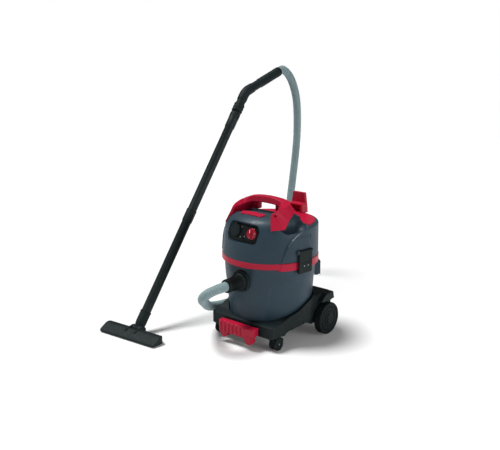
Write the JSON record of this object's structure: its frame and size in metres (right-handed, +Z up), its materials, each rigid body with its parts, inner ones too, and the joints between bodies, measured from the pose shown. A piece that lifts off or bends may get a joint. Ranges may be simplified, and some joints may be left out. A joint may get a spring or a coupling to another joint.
{
  "type": "shop vacuum",
  "caption": "Wet and dry shop vacuum: round tank on a wheeled trolley, lift-off motor head with latches and carry handle, hose, two-piece wand and floor nozzle.",
  "frame": {"origin": "on the floor, under the axis of the tank", "axes": "+Z up; the inlet and the control panel face -Y; +X is to the right of someone facing the panel"},
  "size_m": [0.7261, 1.2255, 1.0219],
  "materials": {
    "shell_grey": "fine satin",
    "trim_red": "satin",
    "body_black": "fine texture",
    "detail_dark": "satin",
    "rubber": "matt",
    "tyre": "matt",
    "steel": "brushed",
    "hose_grey": "satin, ribbed",
    "filter_white": "pleated felt",
    "lens": "gloss",
    "bristle": "bristles"
  },
  "bodies": {
    "trolley": {"tank": "shell_grey", "rim_band": "trim_red", "tank_grips": "shell_grey", "inlet_flange": "detail_dark", "inlet_screws": "steel", "inlet_deflector": "detail_dark", "hose_connector": "detail_dark", "hose": "hose_grey", "hose_cuff": "detail_dark", "trolley": "body_black", "pedal_pin": "steel", "wand_handle": "body_black", "upper_tube": "body_black", "lower_tube": "body_black", "nozzle_neck": "body_black", "rear_axle": "steel", "head_shell": "shell_grey", "head_base": "body_black", "head_seal": "rubber", "control_panel": "detail_dark", "outlet_socket": "detail_dark", "indicator_lenses": "lens", "carry_handle": "trim_red", "handle_screws": "detail_dark", "grip_strip": "trim_red", "rear_deck": "trim_red", "accessory_holder": "trim_red", "latch_pins": "steel", "exhaust_grille": "detail_dark", "cord_gland": "rubber", "motor_housing": "steel", "fan_housing": "steel", "filter_cartridge": "filter_white", "float_cage": "body_black"},
    "axle_wheels_left": {"rear_wheel_left": "tyre", "wheel_cap_left": "detail_dark"},
    "axle_wheels_right": {"rear_wheel_right": "tyre", "wheel_cap_right": "detail_dark"},
    "caster_left": {"caster_housing_left": "body_black", "caster_axle_left": "steel"},
    "caster_right": {"caster_housing_right": "body_black", "caster_axle_right": "steel"},
    "roller_left_inner": {"caster_wheel_left_inner": "rubber"},
    "roller_left_outer": {"caster_wheel_left_outer": "rubber"},
    "roller_right_inner": {"caster_wheel_right_inner": "rubber"},
    "roller_right_outer": {"caster_wheel_right_outer": "rubber"},
    "pedal": {"brake_pedal": "trim_red"},
    "knob": {"power_knob": "trim_red"},
    "lid": {"outlet_lid": "body_black"},
    "latch_l": {"latch_left": "body_black"},
    "latch_r": {"latch_right": "body_black"},
    "rotor": {"motor_shaft": "steel", "fan_wheel": "steel"},
    "float": {"float_ball": "lens"},
    "slider": {"air_slider": "detail_dark"},
    "nozzle": {"nozzle_body": "body_black", "nozzle_brushes": "bristle"},
    "nozzle_wheel_l": {"nozzle_roller_left": "rubber"},
    "nozzle_wheel_r": {"nozzle_roller_right": "rubber"}
  },
  "joints": [
    {"name": "rear_wheel_left_spin", "type": "hinge", "parent": "trolley", "child": "axle_wheels_left", "pos_m": [-0.18, 0.134, 0.065], "axis": [1, 0, 0], "continuous": true},
    {"name": "rear_wheel_right_spin", "type": "hinge", "parent": "trolley", "child": "axle_wheels_right", "pos_m": [0.18, 0.134, 0.065], "axis": [1, 0, 0], "continuous": true},
    {"name": "caster_left_swivel", "type": "hinge", "parent": "trolley", "child": "caster_left", "pos_m": [-0.14, -0.147, 0.06], "axis": [0, 0, 1], "continuous": true},
    {"name": "caster_right_swivel", "type": "hinge", "parent": "trolley", "child": "caster_right", "pos_m": [0.14, -0.147, 0.06], "axis": [0, 0, 1], "continuous": true},
    {"name": "caster_left_inner_spin", "type": "hinge", "parent": "caster_left", "child": "roller_left_inner", "pos_m": [-0.129, -0.133, 0.025], "axis": [1, 0, 0], "continuous": true},
    {"name": "caster_left_outer_spin", "type": "hinge", "parent": "caster_left", "child": "roller_left_outer", "pos_m": [-0.151, -0.133, 0.025], "axis": [1, 0, 0], "continuous": true},
    {"name": "caster_right_inner_spin", "type": "hinge", "parent": "caster_right", "child": "roller_right_inner", "pos_m": [0.129, -0.133, 0.025], "axis": [1, 0, 0], "continuous": true},
    {"name": "caster_right_outer_spin", "type": "hinge", "parent": "caster_right", "child": "roller_right_outer", "pos_m": [0.151, -0.133, 0.025], "axis": [1, 0, 0], "continuous": true},
    {"name": "pedal_tip", "type": "hinge", "parent": "trolley", "child": "pedal", "pos_m": [0, -0.191, 0.078], "axis": [1, 0, 0], "range_deg": [0, 14]},
    {"name": "knob_turn", "type": "hinge", "parent": "trolley", "child": "knob", "pos_m": [0.039, -0.15623, 0.44603], "axis": [0, 0.9744, -0.225], "range_deg": [0, 270]},
    {"name": "lid_hinge", "type": "hinge", "parent": "trolley", "child": "lid", "pos_m": [-0.046, -0.15379, 0.47523], "axis": [-1, 0, 0], "range_deg": [0, 100], "stiffness_Nm_per_rad": 0.02, "springref_deg": -17.19},
    {"name": "latch_left_hinge", "type": "hinge", "parent": "trolley", "child": "latch_l", "pos_m": [-0.19286, -0.02882, 0.38], "axis": [-0.1478, 0.989, 0], "range_deg": [0, 70]},
    {"name": "latch_right_hinge", "type": "hinge", "parent": "trolley", "child": "latch_r", "pos_m": [0.19286, -0.02882, 0.38], "axis": [-0.1478, -0.989, 0], "range_deg": [0, 70]},
    {"name": "rotor_spin", "type": "hinge", "parent": "trolley", "child": "rotor", "pos_m": [0, 0, 0.4], "axis": [0, 0, 1], "continuous": true},
    {"name": "float_rise", "type": "slide", "parent": "trolley", "child": "float", "axis": [0, 0, 1], "range_m": [0, 0.038]},
    {"name": "air_slide", "type": "slide", "parent": "trolley", "child": "slider", "axis": [-0.0472, 0.6275, 0.7771], "range_m": [0, 0.012]},
    {"name": "nozzle_tilt", "type": "hinge", "parent": "trolley", "child": "nozzle", "pos_m": [-0.3755, -0.377, 0.023], "axis": [0.9972, 0.075, 0], "range_deg": [-25, 30]},
    {"name": "nozzle_wheel_left_spin", "type": "hinge", "parent": "nozzle", "child": "nozzle_wheel_l", "pos_m": [-0.46083, -0.38241, 0.009], "axis": [0.9972, 0.075, 0], "continuous": true},
    {"name": "nozzle_wheel_right_spin", "type": "hinge", "parent": "nozzle", "child": "nozzle_wheel_r", "pos_m": [-0.29032, -0.36959, 0.009], "axis": [0.9972, 0.075, 0], "continuous": true}
  ]
}
